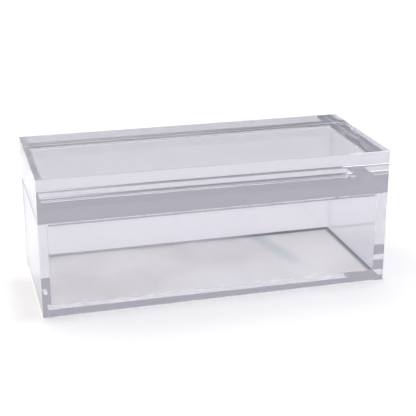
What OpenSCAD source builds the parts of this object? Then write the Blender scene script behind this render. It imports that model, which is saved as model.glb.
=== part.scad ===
// Clear acrylic storage box with a thick lift-off lid.
// The box is five polished sheets bonded edge to face, open at the top.
// The lid is one thick block with a thin plate bonded under it, which drops inside the walls
// and keeps the block square on the rim.
// Frame: millimetres, +Z up, +X to the right, the front faces -Y.
// The origin is the middle of the footprint, on the surface that the box stands on.

/* [Outside size] */
// Width of the box and lid, left to right (12 in)
box_w = 304.8; // [150:0.1:450]
// Depth of the box and lid, front to back (5 in)
box_d = 127; // [90:0.1:300]
// Height of the walls, without the lid (3 1/4 in)
wall_h = 82.55; // [50:0.05:200]
// Thickness of the lid block (1 1/2 in)
lid_t = 38.1; // [12:0.1:50]

/* [Sheet] */
// Thickness of the four walls (5/16 in sheet)
wall_t = 7.94; // [5:0.01:12]
// Thickness of the base plate (5/16 in sheet)
base_t = 7.94; // [5:0.01:12]

/* [Lid fit] */
// Thickness of the locating plate under the lid (3/16 in sheet)
plate_t = 4.76; // [3:0.01:10]
// Gap all round between the locating plate and the walls
plate_gap = 0.8; // [0.3:0.05:2]
// Corner radius of the locating plate, sanded so that it finds the box easily
plate_r = 1.5; // [0.5:0.1:5]
// Lead-in on the lower edge of the locating plate
lead_in = 0.6; // [0.2:0.05:1.5]

/* [Edges] */
// Bevel on the edges that meet at the seam: the rim of the walls and the lower edges of the lid
seam_c = 0.5; // [0.2:0.05:1]
// Bevel on every other outer edge, only broken so that it isn't sharp
crisp_c = 0.15; // [0.1:0.05:0.5]

/* [Hidden] */

// Tints that tell the sheets apart
body_tint = "lightsteelblue";
side_tint = "lightblue";
base_tint = "lavender";
lid_tint = "aliceblue";
plate_tint = "powderblue";

// Inside of the walls, from wall face to wall face
inner_w = box_w - 2 * wall_t;
inner_d = box_d - 2 * wall_t;
// Outline of the locating plate
plate_w = inner_w - 2 * plate_gap;
plate_d = inner_d - 2 * plate_gap;
// Extra length of a cutter past the face that it cuts
over = 1;

// Rectangle about the middle, its lower corners cut by low and its upper ones by high
module cut_rect(w, h, low, high) {
    polygon([
        [-w / 2 + low, -h / 2],
        [w / 2 - low, -h / 2],
        [w / 2, -h / 2 + low],
        [w / 2, h / 2 - high],
        [w / 2 - high, h / 2],
        [-w / 2 + high, h / 2],
        [-w / 2, h / 2 - high],
        [-w / 2, -h / 2 + low]
    ]);
}

// Block that stands on z = 0 with all twelve edges bevelled: three crossed prisms
module bevelled_block(w, d, h, low, high) {
    intersection() {
        linear_extrude(height = h)
            cut_rect(w, d, crisp_c, crisp_c);
        translate([0, d / 2, h / 2])
            rotate([90, 0, 0])
                linear_extrude(height = d)
                    cut_rect(w, h, low, high);
        translate([-w / 2, 0, h / 2])
            rotate([90, 0, 90])
                linear_extrude(height = w)
                    cut_rect(d, h, low, high);
    }
}

// Well between the walls, flared by the bevel on the inner edge of the rim
module well() {
    translate([0, 0, base_t])
        linear_extrude(height = wall_h)
            square([inner_w, inner_d], center = true);
    intersection() {
        translate([0, inner_d, wall_h])
            rotate([90, 0, 0])
                linear_extrude(height = 2 * inner_d)
                    flare(inner_w);
        translate([-inner_w, 0, wall_h])
            rotate([90, 0, 90])
                linear_extrude(height = 2 * inner_w)
                    flare(inner_d);
    }
}

// Section of the flare: it widens by one bevel on each side up to the rim, then runs straight on
module flare(w) {
    polygon([
        [-w / 2, -seam_c],
        [w / 2, -seam_c],
        [w / 2 + seam_c, 0],
        [w / 2 + seam_c, over],
        [-w / 2 - seam_c, over],
        [-w / 2 - seam_c, 0]
    ]);
}

// The bonded and edge-finished box, from which each sheet takes its own part
module box_shell() {
    difference() {
        bevelled_block(box_w, box_d, wall_h, crisp_c, seam_c);
        well();
    }
}

// The floor of the box: it lies between the four walls, flush with their lower edges
module base_plate() {
    color(base_tint)
        translate([-inner_w / 2, -inner_d / 2, 0])
            cube([inner_w, inner_d, base_t]);
}

// Front and back sheets run the full width and cover the ends of the side sheets
module long_wall(side) {
    intersection() {
        box_shell();
        translate([-box_w / 2, side < 0 ? -box_d / 2 : inner_d / 2, 0])
            cube([box_w, wall_t, wall_h]);
    }
}

// Side sheets stand between the front and back sheets
module short_wall(side) {
    intersection() {
        box_shell();
        translate([side < 0 ? -box_w / 2 : inner_w / 2, -inner_d / 2, 0])
            cube([wall_t, inner_d, wall_h]);
    }
}

module front_wall() {
    color(body_tint)
        long_wall(-1);
}

module back_wall() {
    color(body_tint)
        long_wall(1);
}

module left_wall() {
    color(side_tint)
        short_wall(-1);
}

module right_wall() {
    color(side_tint)
        short_wall(1);
}

// Solid cast block that rests on the rim
module lid_block() {
    color(lid_tint)
        translate([0, 0, wall_h])
            bevelled_block(box_w, box_d, lid_t, seam_c, crisp_c);
}

// Outline of the locating plate, with rounded corners
module plate_outline() {
    square([plate_w, plate_d - 2 * plate_r], center = true);
    square([plate_w - 2 * plate_r, plate_d], center = true);
    for (sx = [-1, 1])
        for (sy = [-1, 1])
            translate([sx * (plate_w / 2 - plate_r), sy * (plate_d / 2 - plate_r)])
                circle(r = plate_r, $fn = 32);
}

// Lead-in on the lower edge of the plate: two crossed prisms that narrow downwards
module plate_taper() {
    intersection() {
        translate([0, plate_d, wall_h])
            rotate([90, 0, 0])
                linear_extrude(height = 2 * plate_d)
                    taper_section(plate_w);
        translate([-plate_w, 0, wall_h])
            rotate([90, 0, 90])
                linear_extrude(height = 2 * plate_w)
                    taper_section(plate_d);
    }
}

// Section of the plate across its thickness, with the lower corners cut
module taper_section(w) {
    polygon([
        [-w / 2, 0],
        [-w / 2, lead_in - plate_t],
        [lead_in - w / 2, -plate_t],
        [w / 2 - lead_in, -plate_t],
        [w / 2, lead_in - plate_t],
        [w / 2, 0]
    ]);
}

// Thin plate bonded under the block: it drops between the walls and stops the lid sliding
module locating_plate() {
    color(plate_tint)
        intersection() {
            translate([0, 0, wall_h - plate_t])
                linear_extrude(height = plate_t)
                    plate_outline();
            plate_taper();
        }
}

base_plate();
front_wall();
back_wall();
left_wall();
right_wall();
lid_block();
locating_plate();
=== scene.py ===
# A clear acrylic storage box with a thick lift-off lid, on a pale table in soft studio light.
import math

import bmesh
import bpy
import numpy as np
from mathutils import Matrix, Vector


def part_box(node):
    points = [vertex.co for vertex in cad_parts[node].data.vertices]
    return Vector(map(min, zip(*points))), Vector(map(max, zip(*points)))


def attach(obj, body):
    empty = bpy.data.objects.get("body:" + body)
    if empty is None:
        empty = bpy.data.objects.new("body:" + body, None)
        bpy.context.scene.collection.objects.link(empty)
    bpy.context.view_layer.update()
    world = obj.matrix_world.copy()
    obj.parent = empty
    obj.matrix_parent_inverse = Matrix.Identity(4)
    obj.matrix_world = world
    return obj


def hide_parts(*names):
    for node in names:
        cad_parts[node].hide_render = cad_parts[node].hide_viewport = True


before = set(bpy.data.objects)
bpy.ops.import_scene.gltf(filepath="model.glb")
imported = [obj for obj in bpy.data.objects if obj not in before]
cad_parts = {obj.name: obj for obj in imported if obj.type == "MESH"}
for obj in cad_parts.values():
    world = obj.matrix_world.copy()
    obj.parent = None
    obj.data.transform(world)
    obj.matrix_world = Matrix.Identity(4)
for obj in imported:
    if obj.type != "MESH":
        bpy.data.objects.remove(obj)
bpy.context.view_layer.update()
MM = 0.001


# The floor of the box: a rectangle of 5/16 in clear cast acrylic sheet. It lies between the four
# walls, flush with their lower edges, and its own edges are solvent welded to them. Each face of a
# sheet is outer, where it faces the room, or inner, inside the box or under it, or part of a weld.
base_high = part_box("base_plate")[1]
well_w, well_d, floor_z = base_high
OUTER, WELD, INNER = 0, 1, 2
SAME_POINT = 0.0001 * MM
ACRYLIC_IOR = 1.49
RIPPLE_HEIGHT = 0.002 * MM
SHEET_RIPPLE = 40 * MM
COLOUR = {"data_type": "RGBA"}


def linear(hex_colour):
    """sRGB hex to linear: a channel up to 0.04045 is divided by 12.92, the rest follow a 2.4 power."""
    srgb = np.array([int(hex_colour[i:i + 2], 16) / 255 for i in (1, 3, 5)])
    curve = np.where(srgb <= 0.04045, srgb / 12.92, ((srgb + 0.055) / 1.055) ** 2.4)
    return (*curve, 1.0)


def add_node(tree, kind, settings, *values, **named):
    """Adds one node with its own settings. Values go to its inputs in order, named ones by name. A node
    is linked by the first output that it has in use, a socket is linked, and any other value is set."""
    node = tree.nodes.new("ShaderNode" + kind)
    for name, setting in settings.items():
        setattr(node, name, setting)
    in_use = [socket for socket in node.inputs if socket.enabled]
    by_name = [(node.inputs[name.replace("_", " ")], value) for name, value in named.items()]
    for socket, value in [*zip(in_use, values), *by_name]:
        if isinstance(value, bpy.types.Node):
            value = next(output for output in value.outputs if output.enabled)
        if isinstance(value, bpy.types.NodeSocket):
            tree.links.new(value, socket)
        else:
            socket.default_value = value
    return node


def new_material(name):
    """A material with an empty node tree."""
    material = bpy.data.materials.new(name)
    material.use_nodes = True
    material.node_tree.nodes.clear()
    return material


def clear_acrylic(name, tint, shade, ripple):
    """Polished clear acrylic. Its tint drifts to shade over four ripples, and its faces rise and fall by
    the ripple's height over one. Light goes in and out of it bent, with sharp reflections."""
    material = new_material(name)
    tree = material.node_tree
    where = add_node(tree, "TexCoord", {}).outputs["Object"]
    drift = add_node(tree, "TexNoise", {}, Vector=where, Scale=1 / (4 * ripple), Detail=1.0)
    colour = add_node(tree, "Mix", COLOUR, drift, linear(tint), linear(shade))
    wave = add_node(tree, "TexNoise", {}, Vector=where, Scale=1 / ripple, Detail=2.0, Roughness=0.4)
    bump = add_node(tree, "Bump", {}, Height=wave, Distance=RIPPLE_HEIGHT)
    acrylic = add_node(
        tree, "BsdfPrincipled", {}, Base_Color=colour, Normal=bump,
        Roughness=0.0, IOR=ACRYLIC_IOR, Transmission_Weight=1.0)
    add_node(tree, "OutputMaterial", {}, Surface=acrylic)
    return material


def solvent_weld():
    """A bonded joint: as clear as the sheet, so light goes straight through it and it shows nothing."""
    material = new_material("solvent weld, clear")
    tree = material.node_tree
    add_node(tree, "OutputMaterial", {}, Surface=add_node(tree, "BsdfTransparent", {}))
    return material


# Cast sheet keeps a trace of the glass mould, some 2 microns over 40 mm, too little to blur a line
# seen through it. The faint lilac tint is the room's, painted light in the colour of the acrylic: it
# stands for the dimmer lilac light of the room seen through the box. Light crosses the outer faces
# twice on its way through the box and inner ones any number of times, so the outer faces alone carry
# the tint.
ROOM_LIGHT_TINTS = ("#D7D5DC", "#D0CED6")
INNER_TINTS = ("#FFFFFF", "#FDFDFE")
outer_sheet = clear_acrylic("cast acrylic sheet, outer faces", *ROOM_LIGHT_TINTS, SHEET_RIPPLE)
inner_sheet = clear_acrylic("cast acrylic sheet, inner faces", *INNER_TINTS, SHEET_RIPPLE)
weld = solvent_weld()
SHEET_FACES = [outer_sheet, weld, inner_sheet]


def ring(half_x, half_y, cut, z, steps=1, rounded=False):
    """Corner points of a level rectangle of these half sides. Each corner starts cut before the point
    where the sides meet and ends cut after it, in steps segments of a straight line or of an arc."""
    t = np.linspace(0, 1, steps + 1)
    if rounded:
        before, after = 1 - np.sin(t * math.pi / 2), 1 - np.cos(t * math.pi / 2)
    else:
        before, after = 1 - t, t
    x = [half_x - cut * before, half_x - cut * after, -half_x + cut * before, -half_x + cut * after]
    y = [-half_y + cut * after, half_y - cut * before, half_y - cut * after, -half_y + cut * before]
    return np.concatenate([np.stack([x[i], y[i], np.full_like(t, z)], axis=1) for i in range(4)])


def stack_of_rings(rings, faces):
    """A closed shell: one face over the first ring, quads from each ring to the next, and one face over
    the last. faces says for each of these, in that order, whether it is outer, inner or weld."""
    count, strips = len(rings[0]), len(rings) - 1
    i = np.arange(count)
    j = (i + 1) % count
    strip = np.stack([i, j, count + j, count + i], axis=1)
    quads = np.concatenate([strip + k * count for k in range(strips)])
    ends = [i[::-1].tolist(), (strips * count + i).tolist()]
    mesh = bpy.data.meshes.new("rings")
    mesh.from_pydata(np.concatenate(rings).tolist(), [], quads.tolist() + ends)
    kinds = np.concatenate([np.repeat(faces[1:-1], count), [faces[0], faces[-1]]])
    mesh.polygons.foreach_set("material_index", kinds.astype(np.int32))
    shell = bmesh.new()
    shell.from_mesh(mesh)
    bpy.data.meshes.remove(mesh)
    bmesh.ops.remove_doubles(shell, verts=shell.verts, dist=SAME_POINT)
    return shell


def finish_piece(shell, node, ending, body, materials):
    """Turns the shell's faces outwards and puts it in a new object, which rides on the body, stands for
    the CAD node and takes its name and an ending."""
    bmesh.ops.recalc_face_normals(shell, faces=shell.faces)
    mesh = bpy.data.meshes.new(node + ending)
    shell.to_mesh(mesh)
    shell.free()
    for material in materials:
        mesh.materials.append(material)
    piece = bpy.data.objects.new(node + ending, mesh)
    bpy.context.scene.collection.objects.link(piece)
    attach(piece, body)
    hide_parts(node)


base = stack_of_rings([
    ring(well_w, well_d, 0, 0),
    ring(well_w, well_d, 0, floor_z),
], [INNER, WELD, INNER])
finish_piece(base, "base_plate", "_sheet", "box", SHEET_FACES)


# Front and back walls: the same sheet, cut to the full width of the box. They cover the ends of the
# side walls and the edges of the base, to which they are solvent welded. The box is edge finished
# once it is bonded, so its bevels run on from one sheet to the next.
front_low, front_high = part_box("front_wall")
AIR_GAP = 0.04 * MM
SEAM_BEVEL = 0.5 * MM
CRISP_BEVEL = 0.15 * MM
HALF_CRISP = CRISP_BEVEL / 2
half_w, half_d = front_high.x, -front_low.y
rim_z = front_high.z - AIR_GAP


def bonded_box():
    """The box in one: rings from under the base, up the outside, over the rim and down to the floor."""
    rings = [
        ring(half_w - CRISP_BEVEL, half_d - CRISP_BEVEL, 0, 0),
        ring(half_w - HALF_CRISP, half_d - HALF_CRISP, 0, HALF_CRISP),
        ring(half_w, half_d, CRISP_BEVEL, CRISP_BEVEL),
        ring(half_w, half_d, CRISP_BEVEL, rim_z - SEAM_BEVEL),
        ring(half_w - HALF_CRISP, half_d - HALF_CRISP, 0, rim_z - SEAM_BEVEL + HALF_CRISP),
        ring(half_w - SEAM_BEVEL, half_d - SEAM_BEVEL, 0, rim_z),
        ring(well_w + SEAM_BEVEL, well_d + SEAM_BEVEL, 0, rim_z),
        ring(well_w, well_d, 0, rim_z - SEAM_BEVEL),
        ring(well_w, well_d, 0, floor_z),
    ]
    return stack_of_rings(rings, [INNER] + [OUTER] * 5 + [INNER] * 4)


def slice_off(shell, point, normal, face_kind):
    """Cuts away all that lies past a plane, on the side of its normal, and closes the cut."""
    everything = shell.verts[:] + shell.edges[:] + shell.faces[:]
    bmesh.ops.bisect_plane(
        shell, geom=everything, plane_co=point, plane_no=normal, clear_outer=True, dist=SAME_POINT)
    open_edges = [edge for edge in shell.edges if edge.is_boundary]
    for face in bmesh.ops.contextual_create(shell, geom=open_edges)["faces"]:
        face.material_index = face_kind


def sheet_of_box(node, *cuts):
    """One sheet of the bonded box, sliced out at its welds. Each cut is a point on the weld and the
    direction in which the rest of the box is cut away."""
    shell = bonded_box()
    for point, away in cuts:
        slice_off(shell, Vector(point), Vector(away), WELD)
    finish_piece(shell, node, "_sheet", "box", SHEET_FACES)


at_front = (0, -well_d, 0)
at_back = (0, well_d, 0)
forwards, backwards = (0, -1, 0), (0, 1, 0)
sheet_of_box("front_wall", (at_front, backwards))
sheet_of_box("back_wall", (at_back, forwards))


# Side walls: the same sheet again, cut to fit between the front and back walls. They stand against
# the ends of the base, and all three joints are solvent welds.
at_left, at_right = (-well_w, 0, 0), (well_w, 0, 0)
leftwards, rightwards = (-1, 0, 0), (1, 0, 0)
between = (at_front, forwards), (at_back, backwards)
sheet_of_box("left_wall", *between, (at_left, rightwards))
sheet_of_box("right_wall", *between, (at_right, leftwards))


# The lid: one solid block of cast acrylic, 1 1/2 in thick, sawn, planed and polished on all its
# faces. It rests on the rim by its own weight, with a film of air between. The locating plate is
# welded to the middle of its underside.
lid_low, lid_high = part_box("lid_block")
plate_low, plate_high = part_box("locating_plate")
PLATE_RADIUS = 1.5 * MM
ARC_STEPS = 8
BLOCK_RIPPLE = 30 * MM
# The lid's outer faces carry the same painted room light in their tint as the sheet's.
outer_block = clear_acrylic("cast acrylic block, polished outer faces", *ROOM_LIGHT_TINTS, BLOCK_RIPPLE)
inner_block = clear_acrylic("cast acrylic block, underside", *INNER_TINTS, BLOCK_RIPPLE)


def plate_ring(z):
    """Outline of the locating plate, with its corners sanded round."""
    return ring(plate_high.x, plate_high.y, PLATE_RADIUS, z, ARC_STEPS, rounded=True)


def lid_ring(inset, cut, z):
    """Outline of the lid, drawn in by inset, with as many points as the plate's outline."""
    return ring(half_w - inset, half_d - inset, cut, z, ARC_STEPS)


lid = stack_of_rings([
    plate_ring(lid_low.z),
    lid_ring(SEAM_BEVEL, 0, lid_low.z),
    lid_ring(HALF_CRISP, 0, lid_low.z + SEAM_BEVEL - HALF_CRISP),
    lid_ring(0, CRISP_BEVEL, lid_low.z + SEAM_BEVEL),
    lid_ring(0, CRISP_BEVEL, lid_high.z - CRISP_BEVEL),
    lid_ring(HALF_CRISP, 0, lid_high.z - HALF_CRISP),
    lid_ring(CRISP_BEVEL, 0, lid_high.z),
], [WELD, INNER] + [OUTER] * 6)
finish_piece(lid, "lid_block", "_solid", "lid", [outer_block, weld, inner_block])


# The locating plate: 3/16 in sheet with sanded corners and a small lead-in on its lower edge. It
# drops inside the walls with 0.8 mm to spare all round, so that the lid can't slide off the rim.
PLATE_LEAD = 0.6 * MM
plate = stack_of_rings([plate_ring(plate_low.z), plate_ring(lid_low.z)], [INNER, INNER, WELD])
for x, y in ((1, 0), (-1, 0), (0, 1), (0, -1)):
    foot = Vector((x * plate_high.x, y * plate_high.y, plate_low.z + PLATE_LEAD))
    slice_off(plate, foot, Vector((x, y, -1)).normalized(), INNER)
finish_piece(plate, "locating_plate", "_sheet", "lid", SHEET_FACES)


# The studio table: a wide sheet of matt white paper, which runs on behind as a backdrop. Its colour
# carries painted light and shade for what the box does to the light on it: a painted soft shadow
# along its left side and in front, painted shade in a dim zone under the right and back walls, and
# faint painted light patches and one dark band of painted shade on the part under the box.
TABLE_SIZE = 12000 * MM
TABLE_SQUARES = 8
PAPER_GRAIN = 25 * MM
SHADOW_SHIFT = Vector((-17, -21, 0)) * MM
SHADOW_INSET = Vector((6, 30, 0)) * MM
SHADOW_WIDTH = 32 * MM
SHADOW_START = -0.3 * SHADOW_WIDTH
BOX_EDGE = 1 * MM
RIGHT_DIM_START = -5 * MM
BACK_DIM_START = -2 * MM
DIM_FULL = 1 * MM
BACK_FADE_LEFT = 10 * MM
BACK_FADE_RIGHT = 100 * MM
BACK_FADE_LEAST = 0.3
LIGHT_PATCH = 71.43 * MM
PATCH_LOW, PATCH_HIGH = 0.38, 0.62
BAND_PLACE = 83 * MM
BAND_SLANT = 0.24
BAND_CORE, BAND_SIDE = 1 * MM, 13 * MM
BAND_FRONT, BAND_BACK = -45 * MM, 20 * MM
SMOOTH = {"interpolation_type": "SMOOTHSTEP"}
TIMES = {"operation": "MULTIPLY"}
PLUS = {"operation": "ADD"}
MINUS = {"operation": "SUBTRACT"}
LARGER = {"operation": "MAXIMUM"}
WITHOUT_SIGN = {"operation": "ABSOLUTE"}
LENGTH = {"operation": "LENGTH"}


def outside_by(tree, spot, half_sides):
    """How far a spot lies outside a rectangle on the origin: the spot's places without their signs, less
    the half sides and never below 0, give its distance on each axis, and their length is the answer."""
    folded = add_node(tree, "VectorMath", WITHOUT_SIGN, spot)
    past = add_node(tree, "VectorMath", MINUS, folded, half_sides)
    clipped = add_node(tree, "VectorMath", LARGER, past, (0, 0, 0))
    return add_node(tree, "VectorMath", LENGTH, clipped)


grid = bmesh.new()
bmesh.ops.create_grid(grid, x_segments=TABLE_SQUARES, y_segments=TABLE_SQUARES, size=TABLE_SIZE / 2)
mesh = bpy.data.meshes.new("table")
grid.to_mesh(mesh)
grid.free()
table_top = bpy.data.objects.new("table", mesh)
table_top.location.z = -AIR_GAP
bpy.context.scene.collection.objects.link(table_top)

paper = new_material("white paper sweep, matt, with painted light and shade")
mesh.materials.append(paper)
tree = paper.node_tree
spot = add_node(tree, "TexCoord", {}).outputs["Object"]
spot_x, spot_y = add_node(tree, "SeparateXYZ", {}, spot).outputs[:2]

# Matt paper mirrors nothing, and all that its grain gives the eye is a faint cloudiness.
grain = add_node(tree, "TexNoise", {}, Vector=spot, Scale=1 / PAPER_GRAIN, Detail=3.0)
bare_paper = add_node(tree, "Mix", COLOUR, grain, linear("#F8F8F8"), linear("#FAFAFA"))

# The painted shadow is the outline of the box, drawn in and moved to the left and the front, and it
# fades outwards. It ends at the edge of the box, under which the paper has its own painted light and
# shade.
box_sides = Vector((half_w, half_d, 0))
moved = add_node(tree, "VectorMath", MINUS, spot, SHADOW_SHIFT)
fade = add_node(
    tree, "MapRange", SMOOTH, Value=outside_by(tree, moved, box_sides - SHADOW_INSET),
    From_Min=SHADOW_START, From_Max=SHADOW_WIDTH, To_Min=1.0, To_Max=0.0)
outside = add_node(
    tree, "MapRange", {}, Value=outside_by(tree, spot, box_sides), From_Min=0.0, From_Max=BOX_EDGE)
painted_shadow = add_node(tree, "Math", TIMES, fade, outside)
paper_with_painted_shadow = add_node(tree, "Mix", COLOUR, painted_shadow, bare_paper, linear("#E0DDDB"))

# The dim zone is painted shade: it starts just inside the right and back walls. Along the back it
# fades to the left.
past_right = add_node(tree, "Math", MINUS, spot_x, well_w)
past_back = add_node(tree, "Math", MINUS, spot_y, well_d)
under_right = add_node(
    tree, "MapRange", SMOOTH, Value=past_right, From_Min=RIGHT_DIM_START, From_Max=DIM_FULL)
under_back = add_node(
    tree, "MapRange", SMOOTH, Value=past_back, From_Min=BACK_DIM_START, From_Max=DIM_FULL)
back_fade = add_node(
    tree, "MapRange", SMOOTH, Value=spot_x,
    From_Min=BACK_FADE_LEFT, From_Max=BACK_FADE_RIGHT, To_Min=BACK_FADE_LEAST, To_Max=1.0)
faded_back = add_node(tree, "Math", TIMES, under_back, back_fade)
under_walls = add_node(tree, "Math", LARGER, under_right, faded_back)
within_box = add_node(tree, "Math", MINUS, under_walls, outside)
painted_wall_shade = add_node(tree, "Math", LARGER, within_box, 0.0)

# Under the well, painted light patches with soft borders lie on a slightly warmer ground, painted in
# for the light that reaches the paper through the box. The dark band is painted shade: it crosses
# them from the back towards the front, and leans to the right and fades on the way.
painted_patch_noise = add_node(tree, "TexNoise", {}, Vector=spot, Scale=1 / LIGHT_PATCH, Detail=2.0)
painted_patch_mask = add_node(tree, "MapRange", {}, Value=painted_patch_noise, From_Min=PATCH_LOW, From_Max=PATCH_HIGH)
painted_light_patches = add_node(tree, "Mix", COLOUR, painted_patch_mask, linear("#F1EFE9"), linear("#FFFFFA"))
slant = add_node(tree, "Math", TIMES, spot_y, BAND_SLANT)
along_band = add_node(tree, "Math", PLUS, spot_x, slant)
past_band = add_node(tree, "Math", MINUS, along_band, BAND_PLACE)
from_band = add_node(tree, "Math", WITHOUT_SIGN, past_band)
band_width = add_node(
    tree, "MapRange", SMOOTH, Value=from_band,
    From_Min=BAND_CORE, From_Max=BAND_SIDE, To_Min=1.0, To_Max=0.0)
band_fade = add_node(tree, "MapRange", SMOOTH, Value=spot_y, From_Min=BAND_FRONT, From_Max=BAND_BACK)
painted_shade_band = add_node(tree, "Math", TIMES, band_width, band_fade)
painted_light_and_shade_under_well = add_node(tree, "Mix", COLOUR, painted_shade_band, painted_light_patches, linear("#DCE3E5"))

# The paper's colour: its painted shadow outside the box, its painted light patches and band under the
# well, and over both the painted shade under the walls, a dark blue grey.
well_and_room = add_node(tree, "Mix", COLOUR, outside, painted_light_and_shade_under_well, paper_with_painted_shadow)
paper_with_painted_light_and_shade = add_node(tree, "Mix", COLOUR, painted_wall_shade, well_and_room, linear("#5E6E78"))
matt = add_node(tree, "BsdfDiffuse", {}, Color=paper_with_painted_light_and_shade)
add_node(tree, "OutputMaterial", {}, Surface=matt)


# The studio light: a room that is brighter behind the box than in front of it, and one large soft
# lamp overhead, a little behind the box and to its left. The room stays dark in front and above,
# because the seam of the lid mirrors that side and would turn from a dark line to a white one.
ROOM_IN_FRONT = (0.24, 0.24, 0.25, 1.0)
ROOM_BEHIND = (0.61, 0.61, 0.66, 1.0)
FRONT_END, BEHIND_START = -0.4, 0.5
LAMP_LIGHT = (2.95, 2.95, 2.95, 1.0)
LAMP_WAY = Vector((-0.20, 0.18, 0.96)).normalized()
LAMP_REACH = math.radians(38)
LAMP_CORE = math.radians(31)
world = bpy.data.worlds.new("studio")
bpy.context.scene.world = world
world.use_nodes = True
tree = world.node_tree
tree.nodes.clear()
way = add_node(tree, "TexCoord", {}).outputs["Generated"]
way_y = add_node(tree, "SeparateXYZ", {}, way).outputs["Y"]
behind = add_node(tree, "MapRange", SMOOTH, Value=way_y, From_Min=FRONT_END, From_Max=BEHIND_START)
room = add_node(tree, "Mix", COLOUR, behind, ROOM_IN_FRONT, ROOM_BEHIND)
towards_lamp = add_node(tree, "VectorMath", {"operation": "DOT_PRODUCT"}, way, LAMP_WAY)
lamp = add_node(
    tree, "MapRange", SMOOTH, Value=towards_lamp,
    From_Min=math.cos(LAMP_REACH), From_Max=math.cos(LAMP_CORE))
lit_room = add_node(tree, "Mix", COLOUR, lamp, room, LAMP_LIGHT)
glow = add_node(tree, "Background", {}, Color=lit_room)
add_node(tree, "OutputWorld", {}, Surface=glow)

# Light takes many turns inside thick acrylic, so its paths run long before they are cut off, and
# neither sharp reflections nor bright paths are softened.
LIGHT_TURNS = 40
scene = bpy.context.scene
scene.cycles.max_bounces = LIGHT_TURNS
scene.cycles.glossy_bounces = LIGHT_TURNS
scene.cycles.transmission_bounces = LIGHT_TURNS
scene.cycles.transparent_max_bounces = LIGHT_TURNS
scene.cycles.blur_glossy = 0.0
scene.cycles.sample_clamp_indirect = 0.0
scene.view_settings.view_transform = "Standard"


# The camera: a 90 mm lens in front of the box, to its left and above it, turned to the right. Its
# place and angles are the ones at which the corners of the real box fall where the photo has them.
CAMERA_PLACE = Vector((-226.73, -851.14, 382.15)) * MM
YAW = math.radians(15.3354)
PITCH = math.radians(20.0748)
ROLL = math.radians(0.0323)
LENS_LENGTH = 90.02
SENSOR_WIDTH = 36.0
NEAREST, FURTHEST = 50 * MM, 50000 * MM
ahead = Vector((math.sin(YAW) * math.cos(PITCH), math.cos(YAW) * math.cos(PITCH), -math.sin(PITCH)))
level = ahead.cross(Vector((0, 0, 1))).normalized()
above = level.cross(ahead)
right = math.cos(ROLL) * level + math.sin(ROLL) * above
up = math.cos(ROLL) * above - math.sin(ROLL) * level
turn = Matrix((right, up, -ahead)).transposed().to_4x4()
lens = bpy.data.cameras.new("camera")
lens.sensor_width = SENSOR_WIDTH
lens.lens = LENS_LENGTH
lens.clip_start = NEAREST
lens.clip_end = FURTHEST
camera = bpy.data.objects.new("camera", lens)
camera.matrix_world = Matrix.Translation(CAMERA_PLACE) @ turn
scene.collection.objects.link(camera)
scene.camera = camera
